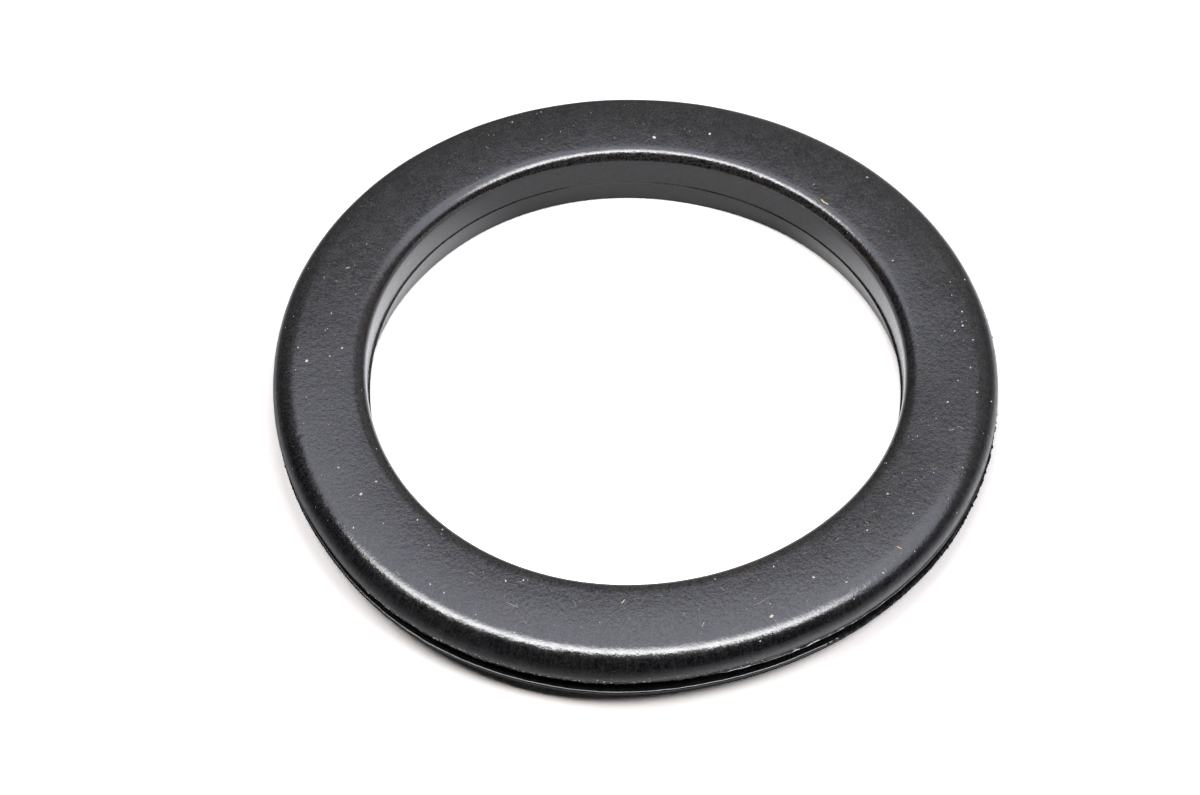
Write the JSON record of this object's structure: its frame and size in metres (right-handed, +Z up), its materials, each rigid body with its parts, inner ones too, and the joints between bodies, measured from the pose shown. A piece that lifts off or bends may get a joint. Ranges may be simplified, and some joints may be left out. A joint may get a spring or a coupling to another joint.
{
  "type": "rubber gasket",
  "caption": "Black moulded rubber ring with a rounded flange above and below a narrow panel groove, and a plain round bore.",
  "frame": {"origin": "on the ring's axis, in the plane of its bottom face", "axes": "+Z up along the ring's axis, from the flared end of the bore towards the plain end"},
  "size_m": [0.1, 0.1, 0.0104],
  "materials": {
    "rubber": "satin moulded black rubber, dusty"
  },
  "bodies": {
    "root": {"gasket": "rubber"}
  },
  "joints": []
}
